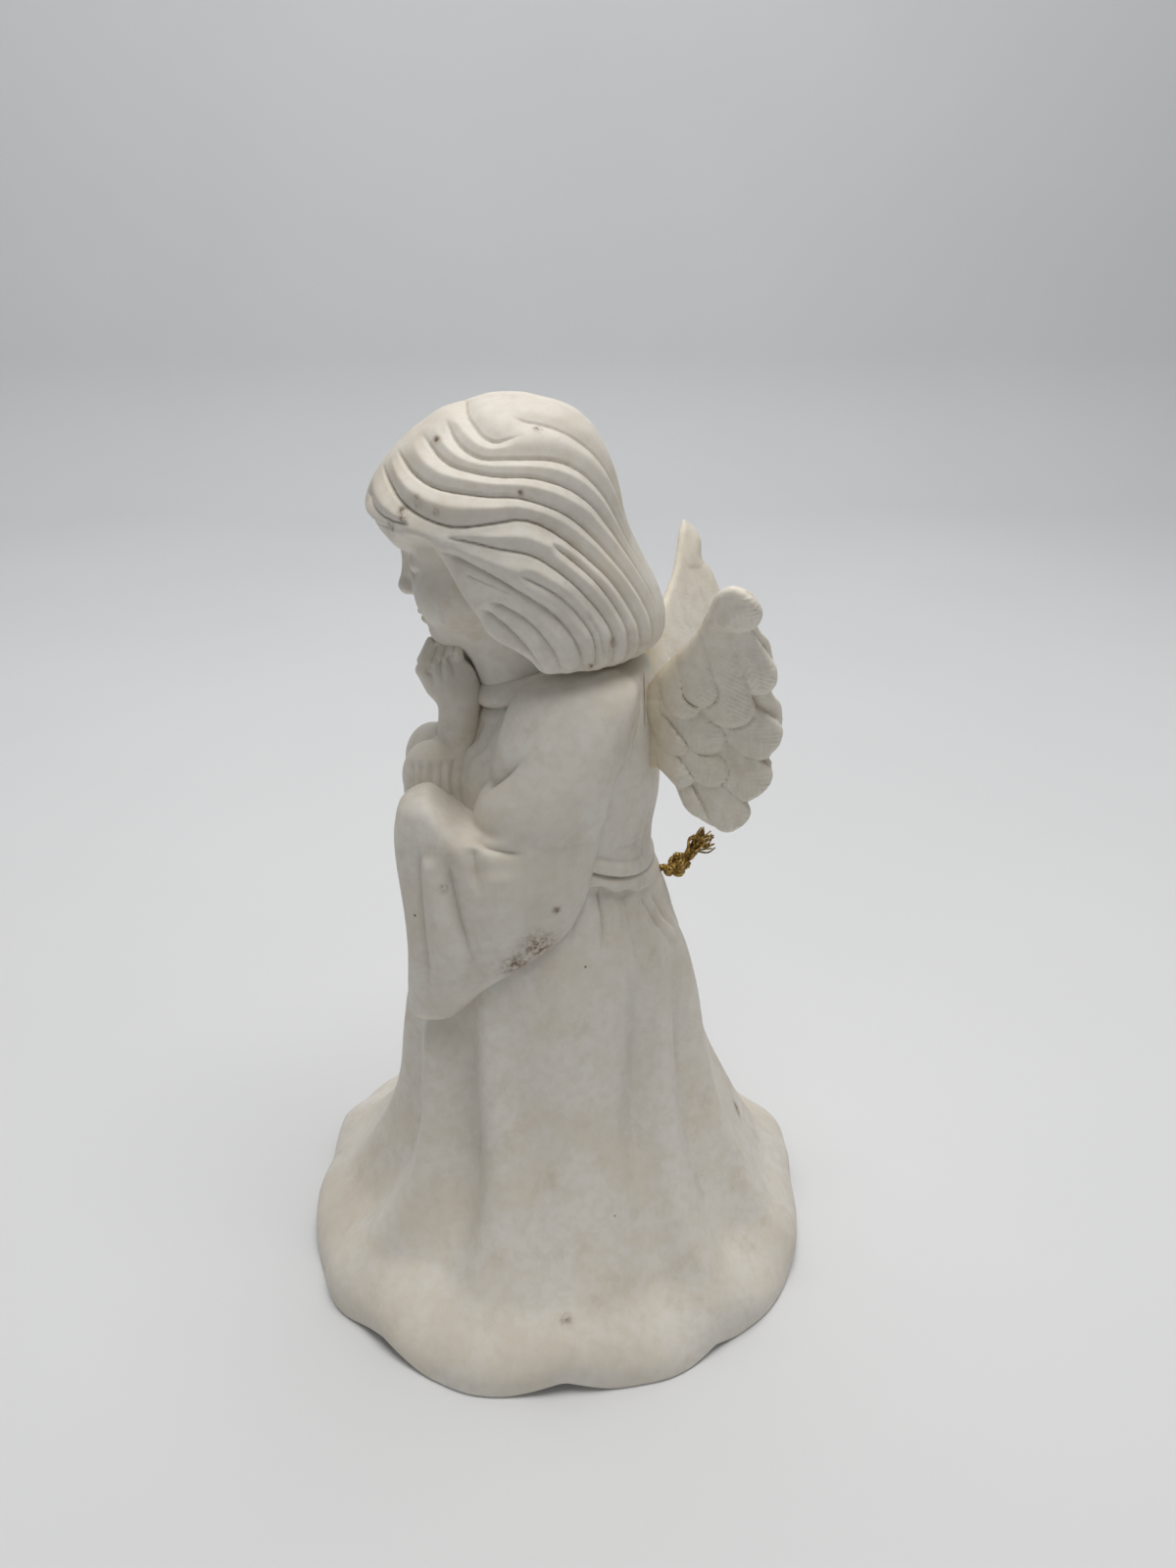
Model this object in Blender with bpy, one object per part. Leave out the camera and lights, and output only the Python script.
"""Porcelain angel bell: a hollow robed figure, its cast-on head, arms, hands and wings,
and the gold cord that carries the clapper.  The figure faces -Y, its left hand is at +X,
the origin is on the table under the middle of the hem.  All lengths are in metres."""
import math

import bmesh
import bpy
from mathutils import Matrix, Vector

MM = 0.001
GAP = 0.3 * MM                  # air left between two pieces that were luted together

# Robe: (height, front y, back y, half width), from the hem to the shoulders
ROBE_OUTLINE = [
    (0.0, -35.0, 35.0, 35.2), (1.6, -34.5, 34.5, 34.6), (4.0, -32.8, 33.0, 33.0),
    (8.0, -29.0, 30.2, 29.9), (13.0, -25.2, 27.2, 26.4), (18.5, -22.4, 24.5, 23.2),
    (24.0, -20.8, 22.0, 20.6), (31.0, -20.1, 20.0, 18.3), (39.0, -19.0, 18.5, 16.4),
    (48.0, -15.8, 16.3, 14.2), (53.0, -13.4, 14.6, 12.8), (56.5, -12.2, 13.0, 12.0),
    (61.0, -11.4, 12.7, 11.6), (66.5, -10.8, 13.5, 11.8), (73.0, -10.2, 13.4, 12.2),
    (77.0, -9.8, 12.8, 12.2), (79.4, -9.4, 11.6, 10.9), (80.8, -9.2, 9.6, 9.0),
]
WALL = 2.3 * MM
SIDES = 60                      # points round each ring of the robe
CAVITY_FOLDS = 0.8              # the inside follows the folds less sharply
CAVITY_TOP = 65.0 * MM          # the bell is hollow up to here, the chest above is cast solid
CAVITY_ROOF_SHARE = 0.55        # the roof is this share of the ring under it, and a little domed
CAVITY_ROOF_RISE = 1.0 * MM
CAVITY_ROOF_Y = 1.0 * MM

# Folds of the skirt: (angle from +X towards +Y in degrees, height in mm, spread in degrees)
FOLDS = [(3, 0.9, 15), (50, 1.6, 11), (80, 1.3, 9), (106, 1.1, 10), (138, 1.4, 13),
         (174, 1.3, 14), (210, 1.5, 13), (243, 1.3, 11), (268, 1.2, 9), (296, 1.6, 11),
         (340, 1.5, 11)]
FOLD_START = 56.0 * MM          # folds fade in below the belt
FOLD_FULL = 20.0 * MM           # and reach their full height and spread here
FOLD_LEVEL = 0.7                # average height of the folds, taken off to keep the outline, mm
FOLD_SCALE = 1.25
FOLD_SPREAD_HIGH = 0.55         # share of their spread that the folds have at the belt
HEM_CENTRING = 0.14 * MM        # shifts the folded hem so that its box is centred
HEM_LIFT = 2.6 * MM             # how far the hem rises between the lobes that touch the table
HEM_FEET = [28, 58, 92, 128, 164, 200, 236, 272, 306, 342]
HEM_FOOT_HALF = 7.0             # half angle of each flat foot, degrees
HEM_ARCH_TOP = 22.5             # angle from a foot at which the hem is highest, degrees
HEM_ARCH_FADE = 14.0 * MM       # the arches fade out by this height

# Belt: two rounded bands moulded round the waist
BELT_BANDS = [(-2.0, -0.1), (0.1, 2.0)]  # below and above its middle, mm
BELT_PROUD = 0.9 * MM
BELT_FRONT = 63.8 * MM           # height of its middle at the front, and how far it drops behind
BELT_DROP = 7.2 * MM
BELT_DROP_FROM = -8.0 * MM       # the drop runs between these two y
BELT_DROP_TO = 14.0 * MM

# Rolled collar and the seat that the neck stands in
COLLAR_CENTRE_Y = -1.4 * MM
COLLAR_RADIUS = 7.2 * MM
COLLAR_BULGE = 1.3 * MM
COLLAR_BASE = 81.2 * MM
COLLAR_SLOPE = 0.12             # the collar drops towards the front
COLLAR_OVAL = 1.08              # it is this much longer from front to back
COLLAR_SEAT = COLLAR_BASE + 0.2 * MM
TILT_FROM = 72.0 * MM           # the chest takes up the collar's slope between these heights
TILT_TO = 80.0 * MM

# Cord and clapper
CORD_RADIUS = 0.5 * MM
CORD_Z = 54.4 * MM
HOLE_RADIUS = 0.85 * MM
BEND_RADIUS = 1.1 * MM          # the cord turns down through a quarter circle, to the pivot
PIVOT = Vector((0.0, 10.5 * MM, CORD_Z - BEND_RADIUS))
THROUGH_WALL_Y = (12.4 * MM, 14.3 * MM)
CLAPPER_CORD_DROP = 0.45 * MM   # the clapper's cord starts this far under the pivot
CLAPPER_CORD_STEPS = 16
CORD_UNDER_BEAD = 0.5 * MM
BEAD_RADIUS = 4.2 * MM
BEAD_Z = 20.5 * MM
BEAD_BORE = 0.8 * MM
STOP_RADIUS = 1.5 * MM
STOP_SQUASH = 0.9
KNOT_CENTRE = Vector((0.0, 16.3 * MM, 54.5 * MM))
KNOT_RADIUS = 1.55 * MM
KNOT_SQUASH = (1.0, 1.05, 0.92)
TUFT_START = Vector((0, 17.75 * MM, 55.9 * MM))
TUFT_END = Vector((0, 20.8 * MM, 59.0 * MM))
TUFT_RADII = [0.5 * MM, 0.85 * MM, 1.15 * MM, 1.0 * MM]

PORCELAIN = (0.80, 0.77, 0.71, 1.0)
OLD_PORCELAIN = (0.78, 0.73, 0.62, 1.0)
GOLD = (0.62, 0.42, 0.13, 1.0)
BISQUE_ROUGHNESS = 0.75
GOLD_ROUGHNESS = 0.4
GOLD_METALLIC = 0.85


# ------------------------------------------------------------------ materials
def make_material(name, colour, roughness, metallic=0.0):
    material = bpy.data.materials.new(name)
    material.use_nodes = True
    shader = material.node_tree.nodes["Principled BSDF"]
    shader.inputs["Base Color"].default_value = colour
    shader.inputs["Roughness"].default_value = roughness
    shader.inputs["Metallic"].default_value = metallic
    material.diffuse_color = colour
    return material


def bisque(name):
    return make_material(name, PORCELAIN, BISQUE_ROUGHNESS)


def gold_thread(name):
    return make_material(name, GOLD, GOLD_ROUGHNESS, GOLD_METALLIC)


# ------------------------------------------------------------------ mesh tools
def add_object(name, mesh, material, smooth=True):
    mesh.materials.append(material)
    if smooth:
        mesh.shade_smooth()
        mesh.set_sharp_from_angle(angle=math.radians(40))
    thing = bpy.data.objects.new(name, mesh)
    bpy.context.scene.collection.objects.link(thing)
    return thing


def mesh_from(work, name):
    bmesh.ops.recalc_face_normals(work, faces=work.faces)
    mesh = bpy.data.meshes.new(name)
    work.to_mesh(mesh)
    work.free()
    return mesh


def loft(name, rings, start_tip, end_tip):
    """One closed skin over a chain of rings, each end drawn to a tip."""
    work = bmesh.new()
    loops = []
    for ring in rings:
        loops.append([work.verts.new(point) for point in ring])
    for lower, upper in zip(loops, loops[1:]):
        count = len(lower)
        for i in range(count):
            j = (i + 1) % count
            work.faces.new((lower[i], lower[j], upper[j], upper[i]))
    for loop, tip in ((loops[0], start_tip), (loops[-1], end_tip)):
        centre = work.verts.new(tip)
        for i, vert in enumerate(loop):
            work.faces.new((vert, loop[(i + 1) % len(loop)], centre))
    return mesh_from(work, name)


def blend_rows(rows, height):
    """Row values at a height, on a smooth curve through the rows."""
    if height <= rows[0][0]:
        return rows[0][1:]
    for k in range(len(rows) - 1):
        low, high = rows[k], rows[k + 1]
        if height <= high[0]:
            before = rows[k - 1] if k > 0 else low
            after = rows[k + 2] if k + 2 < len(rows) else high
            span = high[0] - low[0]
            t = (height - low[0]) / span
            values = []
            for c in range(1, len(low)):
                m0 = (high[c] - before[c]) / (high[0] - before[0]) * span
                m1 = (after[c] - low[c]) / (after[0] - low[0]) * span
                values.append((2 * t**3 - 3 * t**2 + 1) * low[c] + (t**3 - 2 * t**2 + t) * m0
                              + (3 * t**2 - 2 * t**3) * high[c] + (t**3 - t**2) * m1)
            return values
    return rows[-1][1:]


def oval_ring(height, front, back, left, right, count, fullness=2.0):
    """A level ring between front and back (y) and right and left (x)."""
    mid_x, mid_y = (left + right) / 2, (front + back) / 2
    ring = []
    for i in range(count):
        angle = 2 * math.pi * i / count
        c, s = math.cos(angle), math.sin(angle)
        x = mid_x + (left - right) / 2 * math.copysign(abs(c) ** (2 / fullness), c)
        y = mid_y + (back - front) / 2 * math.copysign(abs(s) ** (2 / fullness), s)
        ring.append(Vector((x, y, height)))
    return ring


def smoothstep(edge0, edge1, value):
    t = min(1.0, max(0.0, (value - edge0) / (edge1 - edge0)))
    return t * t * (3 - 2 * t)


def angle_apart(a, b):
    return abs((a - b + 180.0) % 360.0 - 180.0)


def subtract(target, cutter):
    """Cut one object out of another and keep only the result."""
    cutter.hide_render = True
    cutter.display_type = "WIRE"
    cut = target.modifiers.new("cut", "BOOLEAN")
    cut.operation = "DIFFERENCE"
    cut.solver = "EXACT"
    cut.object = cutter


def tube(name, points, radii, material):
    """A plain round cord along a polyline, with one radius for each of its points."""
    curve = bpy.data.curves.new(name, "CURVE")
    curve.dimensions = "3D"
    curve.bevel_depth = 1 * MM
    curve.bevel_resolution = 2
    curve.use_fill_caps = True
    spline = curve.splines.new("POLY")
    spline.points.add(len(points) - 1)
    for i, point in enumerate(points):
        spline.points[i].co = (*point, 1.0)
        spline.points[i].radius = radii[i] / (1 * MM)
    curve.materials.append(material)
    thing = bpy.data.objects.new(name, curve)
    bpy.context.scene.collection.objects.link(thing)


# ------------------------------------------------------------------ robe
def fold_height(angle, height):
    """How far the skirt stands out at one angle, in metres."""
    fade = smoothstep(FOLD_START, FOLD_FULL, height)
    spread = FOLD_SPREAD_HIGH + (1 - FOLD_SPREAD_HIGH) * fade
    total = 0.0
    for centre, tall, wide in FOLDS:
        total += tall * math.exp(-(angle_apart(angle, centre) / (wide * spread)) ** 2)
    return (total - FOLD_LEVEL) * MM * fade * FOLD_SCALE


def hem_height(angle):
    """Height of the hem above the table: flat feet with low arches between."""
    nearest = min(angle_apart(angle, foot) for foot in HEM_FEET)
    return HEM_LIFT * smoothstep(HEM_FOOT_HALF, HEM_ARCH_TOP, nearest)


def belt_middle(y):
    """Height of the belt's middle: high in front, dropping behind."""
    return BELT_FRONT - BELT_DROP * smoothstep(BELT_DROP_FROM, BELT_DROP_TO, y)


def belt_height(above):
    """How far the belt stands out, at a height above its middle in mm."""
    for low, high in BELT_BANDS:
        t = (above - low) / (high - low)
        if 0.0 < t < 1.0:
            return BELT_PROUD * math.sqrt(1 - (2 * t - 1) ** 2)
    return 0.0


def robe_point(angle, height, proud):
    """A point of the robe's side, standing proud of its plain outline."""
    front, back, half = (v * MM for v in blend_rows(ROBE_OUTLINE, height / MM))
    radians = math.radians(angle)
    x = (half + proud) * math.cos(radians)
    y = (front + back) / 2 + ((back - front) / 2 + proud) * math.sin(radians)
    return x + HEM_CENTRING, y + HEM_CENTRING


def robe_ring(height, inset, fold_share=1.0):
    """A ring of the skirt, with its folds and its lifted hem."""
    ring = []
    for i in range(SIDES):
        angle = 360.0 * i / SIDES
        x, y = robe_point(angle, height, fold_height(angle, height) * fold_share - inset)
        lift = hem_height(angle) * (1 - smoothstep(0, HEM_ARCH_FADE, height))
        tilt = COLLAR_SLOPE * (y - COLLAR_CENTRE_Y) * smoothstep(TILT_FROM, TILT_TO, height)
        ring.append(Vector((x, y, height + lift + tilt)))
    return ring


def belt_ring(above, inset):
    """A ring that follows the tilted belt, at a height above its middle in mm."""
    ring = []
    for i in range(SIDES):
        angle = 360.0 * i / SIDES
        y = robe_point(angle, BELT_FRONT - BELT_DROP / 2, 0.0)[1]
        height = belt_middle(y) + above * MM
        x, y = robe_point(angle, height, belt_height(above) - inset)
        ring.append(Vector((x, y, height)))
    return ring


def collar_ring(radius, height):
    ring = []
    for i in range(SIDES):
        angle = 2 * math.pi * i / SIDES
        y = COLLAR_CENTRE_Y + radius * COLLAR_OVAL * math.sin(angle)
        slope = COLLAR_SLOPE * (y - COLLAR_CENTRE_Y)
        ring.append(Vector((radius * math.cos(angle), y, height + slope)))
    return ring


SKIRT_LEVELS = [0.0, 1.4, 3.6, 7.0, 12.0, 18.0, 26.0, 35.0, 44.0, 50.5]
BELT_LEVELS = [-2.1, -1.9, -1.5, -1.05, -0.5, -0.15, 0.15, 0.5, 1.05, 1.5, 1.9, 2.1]
CHEST_LEVELS = [68.5, 73.0, 77.0, 79.4, 80.6]
CAVITY_LEVELS = [62.0, 57.0, 52.0, 46.0, 39.0, 31.5, 24.0, 17.0, 10.0, 4.5, 1.2, 0.0]
ROUND_COLLAR = (20, 55, 95, 140, 180)


def robe_skin(inset):
    """The outside of the robe from the hem to the rolled collar."""
    rings = [robe_ring(level * MM, inset) for level in SKIRT_LEVELS]
    rings += [belt_ring(level, inset) for level in BELT_LEVELS]
    rings += [robe_ring(level * MM, inset) for level in CHEST_LEVELS]
    bulge = COLLAR_BULGE - inset
    under_collar = 0 if inset < 0 else -40      # a grown skin bridges the groove
    for turn in (under_collar, *ROUND_COLLAR):
        radius = COLLAR_RADIUS + bulge * math.cos(math.radians(turn))
        height = COLLAR_BASE + COLLAR_BULGE + bulge * math.sin(math.radians(turn))
        rings.append(collar_ring(radius, height))
    return rings


def make_robe():
    cavity = [robe_ring(level * MM, WALL, CAVITY_FOLDS) for level in CAVITY_LEVELS]
    share = CAVITY_ROOF_SHARE
    roof = [Vector((p.x * share, p.y * share + CAVITY_ROOF_Y * (1 - share),
                    CAVITY_TOP - CAVITY_ROOF_RISE)) for p in cavity[0]]
    seat = collar_ring(COLLAR_RADIUS - COLLAR_BULGE, COLLAR_SEAT)
    rings = [roof] + cavity + robe_skin(0.0) + [seat]
    mesh = loft("robe_shell", rings, (0, CAVITY_ROOF_Y, CAVITY_TOP),
                (0, COLLAR_CENTRE_Y, COLLAR_SEAT))
    robe = add_object("robe_shell", mesh, bisque("robe_bisque"))
    middle_of_wall = Vector((0, sum(THROUGH_WALL_Y) / 2, CORD_Z))
    subtract(robe, make_drill("cord_hole", middle_of_wall, Vector((0, 1, 0)), HOLE_RADIUS))


def make_drill(name, centre, direction, radius):
    """A rod long enough to go right through the wall or the bead."""
    work = bmesh.new()
    bmesh.ops.create_cone(work, cap_ends=True, segments=14, radius1=radius, radius2=radius,
                          depth=4 * BEAD_RADIUS if direction.z else 4 * WALL)
    turn = direction.to_track_quat("Z", "Y").to_matrix().to_4x4()
    bmesh.ops.transform(work, matrix=Matrix.Translation(centre) @ turn, verts=work.verts)
    return add_object(name, mesh_from(work, name), gold_thread(name), smooth=False)


def make_robe_clearance():
    """The robe as a solid block, grown by the gap, to trim its neighbours with."""
    rings = robe_skin(-GAP)
    seat = collar_ring(COLLAR_RADIUS - COLLAR_BULGE - GAP, COLLAR_SEAT + GAP)
    mesh = loft("robe_clearance", rings + [seat], (0, 0, -GAP),
                (0, COLLAR_CENTRE_Y, COLLAR_SEAT + GAP))
    return add_object("robe_clearance", mesh, bisque("clearance"), smooth=False)


# ------------------------------------------------------------------ head with its bobbed hair
HEAD_ROWS = [
    (82.0, -6.6, 3.2, 4.4), (84.0, -6.8, 3.6, 4.6), (85.0, -10.4, 10.6, 10.6),
    (86.4, -14.0, 13.2, 13.0), (89.5, -16.2, 13.4, 14.4), (93.0, -17.6, 11.9, 15.0),
    (96.5, -18.6, 10.3, 15.3), (99.5, -20.4, 9.0, 15.3), (102.0, -21.5, 8.2, 15.0),
    (104.8, -20.2, 7.2, 14.2), (107.5, -18.1, 6.0, 12.8), (110.0, -15.5, 4.7, 10.7),
    (112.2, -12.9, 3.0, 8.2), (113.9, -10.3, 0.6, 5.4), (114.8, -7.8, -2.2, 2.7),
]
NECK_FOOT = (-1.7, 82.0)        # y and height of the lowest and the highest point
CROWN = (-5.0, 115.2)


def head_rings(grow):
    rings = []
    for height, front, back, half in HEAD_ROWS:
        rings.append(oval_ring(height * MM, front * MM - grow, back * MM + grow,
                               half * MM + grow, -half * MM - grow, 32))
    return rings


def head_mesh(name, grow):
    return loft(name, head_rings(grow), (0, NECK_FOOT[0] * MM, NECK_FOOT[1] * MM - grow),
                (0, CROWN[0] * MM, CROWN[1] * MM + grow))


def make_head(clearance):
    head = add_object("head_with_hair", head_mesh("head_with_hair", 0), bisque("head_bisque"))
    subtract(head, clearance)


# ------------------------------------------------------------------ arms in bell sleeves
SLEEVE_ROWS = [
    # height, front y, back y, inner x, outer x
    (38.0, -18.2, -13.8, 6.6, 10.2), (40.0, -19.0, -12.2, 5.4, 12.4),
    (44.0, -19.5, -8.4, 3.8, 14.2), (47.5, -19.7, -3.4, 2.6, 15.2),
    (51.0, -19.9, 1.4, 1.8, 16.0), (54.5, -20.1, 3.4, 1.2, 16.5), (58.5, -20.3, 4.6, 0.7, 16.7),
    (62.0, -19.9, 5.3, 0.7, 16.6), (65.5, -17.6, 5.8, 1.8, 16.3), (69.0, -13.6, 6.4, 3.8, 15.8),
    (73.0, -10.4, 7.2, 6.0, 15.2), (77.0, -7.6, 8.4, 7.0, 14.3), (80.5, -5.0, 8.6, 7.4, 12.9),
    (82.6, -2.2, 6.8, 7.8, 10.8),
]
SLEEVE_FULLNESS = 2.5           # squarer than an oval
SLEEVE_DROP = 0.6 * MM          # the tips stand this far under and over the end rings
SLEEVE_CAP = 0.5 * MM


def sleeve_rings(side, grow):
    rings = []
    for height, front, back, inner, outer in SLEEVE_ROWS:
        ring = oval_ring(height * MM, front * MM - grow, back * MM + grow,
                         side * (outer * MM + grow), side * (inner * MM - grow), 26,
                         SLEEVE_FULLNESS)
        rings.append(ring)
    return rings


def sleeve_mesh(name, side, grow):
    low, high = SLEEVE_ROWS[0], SLEEVE_ROWS[-1]
    bottom = (side * (low[3] + low[4]) / 2 * MM, (low[1] + low[2]) / 2 * MM,
              low[0] * MM - SLEEVE_DROP - grow)
    top = (side * (high[3] + high[4]) / 2 * MM, (high[1] + high[2]) / 2 * MM,
           high[0] * MM + SLEEVE_CAP + grow)
    return loft(name, sleeve_rings(side, grow), bottom, top)


def make_sleeve(name, side, clearance):
    sleeve = add_object(name, sleeve_mesh(name, side, 0), bisque(name + "_bisque"))
    subtract(sleeve, clearance)


# ------------------------------------------------------------------ clasped hands
HAND_ROWS = [
    # height, front y, back y, half width
    (63.8, -18.2, -11.2, 6.4), (66.6, -18.8, -11.0, 6.8), (70.4, -18.9, -10.8, 6.3),
    (74.0, -16.8, -10.6, 5.1), (77.0, -14.0, -10.5, 4.0), (79.8, -15.4, -10.7, 4.3),
    (82.4, -16.4, -11.6, 4.0), (84.2, -16.1, -12.8, 2.9),
]
CUFF_TIP = (-14.7, 63.4)        # y and height
FINGER_TIP = (-14.5, 84.7)


def make_hands(cutters):
    rings = []
    for height, front, back, half in HAND_ROWS:
        rings.append(oval_ring(height * MM, front * MM, back * MM, half * MM, -half * MM, 24))
    low_tip = (0, CUFF_TIP[0] * MM, CUFF_TIP[1] * MM)
    mesh = loft("clasped_hands", rings, low_tip, (0, FINGER_TIP[0] * MM, FINGER_TIP[1] * MM))
    hands = add_object("clasped_hands", mesh, bisque("hands_bisque"))
    for cutter in cutters:
        subtract(hands, cutter)


# ------------------------------------------------------------------ wings
WING_EDGE = [
    # outline seen from the side, from the upper root round the tip to the lower root (y, z)
    (10.8, 79.0), (12.2, 82.6), (14.2, 87.6), (16.2, 92.2), (17.8, 95.8), (19.4, 97.0),
    (20.9, 95.6), (21.7, 92.4), (23.2, 91.2), (24.6, 89.0), (24.6, 86.0), (25.7, 84.6),
    (26.3, 82.0), (25.7, 79.2), (26.4, 77.2), (26.1, 74.4), (25.0, 72.6), (25.0, 70.8),
    (24.0, 68.4), (22.7, 67.4), (21.9, 65.2), (20.2, 64.2), (18.5, 65.0), (16.8, 65.0),
    (15.2, 66.4), (13.2, 67.6), (10.8, 68.4),
]
WING_ROOT = (10.8, 73.4)
WING_THICK_ROOT = 3.6 * MM
WING_THICK_EDGE = 1.5 * MM
WING_ROWS = 5
WING_FLARE_FROM = 78.0          # above this height the wing also leans outwards, mm


def wing_out(y, z):
    """How far the middle of the wing stands out sideways, mm."""
    rise = max(0.0, z - WING_FLARE_FROM)
    return 4.8 + 0.65 * (y - 12.2) + 0.25 * rise + 0.009 * rise**2


def wing_mesh(name, side):
    work = bmesh.new()
    root_y, root_z = WING_ROOT
    layers = []
    for face_side in (1, -1):
        rows = []
        for k in range(1, WING_ROWS + 1):
            share = k / WING_ROWS
            thick = WING_THICK_ROOT + (WING_THICK_EDGE - WING_THICK_ROOT) * share**0.7
            row = []
            for y, z in WING_EDGE:
                py, pz = root_y + (y - root_y) * share, root_z + (z - root_z) * share
                x = wing_out(py, pz) * MM + face_side * thick / 2
                row.append(work.verts.new((side * x, py * MM, pz * MM)))
            rows.append(row)
        hub = work.verts.new((side * (wing_out(root_y, root_z) * MM
                                      + face_side * WING_THICK_ROOT / 2),
                              root_y * MM, root_z * MM))
        for i in range(len(WING_EDGE) - 1):
            work.faces.new((hub, rows[0][i], rows[0][i + 1]))
            for k in range(WING_ROWS - 1):
                work.faces.new((rows[k][i], rows[k + 1][i], rows[k + 1][i + 1], rows[k][i + 1]))
        layers.append((rows, hub))
    (near, near_hub), (far, far_hub) = layers
    for i in range(len(WING_EDGE) - 1):
        work.faces.new((near[-1][i], near[-1][i + 1], far[-1][i + 1], far[-1][i]))
    for end in (0, -1):
        chain_near = [near_hub] + [row[end] for row in near]
        chain_far = [far_hub] + [row[end] for row in far]
        for k in range(WING_ROWS):
            work.faces.new((chain_near[k], chain_near[k + 1], chain_far[k + 1], chain_far[k]))
    return mesh_from(work, name)


def make_wing(name, side, clearance):
    material = make_material(name + "_bisque", OLD_PORCELAIN, BISQUE_ROUGHNESS)
    subtract(add_object(name, wing_mesh(name, side), material), clearance)


# ------------------------------------------------------------------ cord and clapper
def ball(name, centre, radius, material, segments=20, rings=12, squash=(1, 1, 1)):
    work = bmesh.new()
    bmesh.ops.create_uvsphere(work, u_segments=segments, v_segments=rings, radius=radius)
    for vert in work.verts:
        vert.co = Vector((vert.co.x * squash[0], vert.co.y * squash[1], vert.co.z * squash[2]))
    mesh = mesh_from(work, name)
    thing = add_object(name, mesh, material)
    thing.location = centre
    return thing


def make_outer_cord():
    ball("cord_outer_knot", KNOT_CENTRE, KNOT_RADIUS, gold_thread("knot_gold"), 16, 10,
         KNOT_SQUASH)
    last = len(TUFT_RADII) - 1
    points = [TUFT_START.lerp(TUFT_END, t / last) for t in range(last + 1)]
    tube("cord_frayed_tuft", points, TUFT_RADII, gold_thread("tuft_gold"))
    points = [Vector((0, y, CORD_Z))
              for y in (THROUGH_WALL_Y[0], sum(THROUGH_WALL_Y) / 2, THROUGH_WALL_Y[1])]
    tube("cord_through_wall", points, [CORD_RADIUS] * 3, gold_thread("through_gold"))


def make_clapper():
    """The cord turns down at the pivot; everything under the pivot swings."""
    bend = [PIVOT + BEND_RADIUS * Vector((0, 1 - math.sin(a), math.cos(a)))
            for a in (math.radians(22.5 * step) for step in range(5))]
    tube("cord_bend", bend, [CORD_RADIUS] * len(bend), gold_thread("bend_gold"))
    top = PIVOT.z - CLAPPER_CORD_DROP
    bottom = BEAD_Z - BEAD_RADIUS - CORD_UNDER_BEAD
    count = CLAPPER_CORD_STEPS
    points = [Vector((0, PIVOT.y, top + (bottom - top) * t / count)) for t in range(count + 1)]
    tube("clapper_cord", points, [CORD_RADIUS] * len(points), gold_thread("clapper_gold"))
    bead = ball("clapper_bead", Vector((0, PIVOT.y, BEAD_Z)), BEAD_RADIUS,
                bisque("bead_bisque"), 24, 14)
    subtract(bead, make_drill("bead_bore", bead.location, Vector((0, 0, 1)), BEAD_BORE))
    stop_centre = Vector((0, PIVOT.y, bottom - GAP - STOP_RADIUS * STOP_SQUASH))
    ball("clapper_stop_knot", stop_centre, STOP_RADIUS, gold_thread("stop_gold"), 14, 8,
         (1, 1, STOP_SQUASH))


# ------------------------------------------------------------------ the whole figure
def build():
    for thing in list(bpy.data.objects):
        bpy.data.objects.remove(thing, do_unlink=True)
    make_robe()
    clearance = make_robe_clearance()
    make_head(clearance)
    head_clearance = add_object("head_clearance", head_mesh("head_clearance", GAP),
                                bisque("clearance"), smooth=False)
    sleeve_clearances = []
    for name, side in (("left_sleeve", 1), ("right_sleeve", -1)):
        make_sleeve(name, side, clearance)
        grown = add_object(name + "_clearance", sleeve_mesh(name + "_clearance", side, GAP),
                           bisque("clearance"), smooth=False)
        sleeve_clearances.append(grown)
    make_hands([clearance, head_clearance] + sleeve_clearances)
    for name, side in (("left_wing", 1), ("right_wing", -1)):
        make_wing(name, side, clearance)
    make_outer_cord()
    make_clapper()
    for thing in (head_clearance, *sleeve_clearances):
        thing.hide_render = True
        thing.display_type = "WIRE"


build()
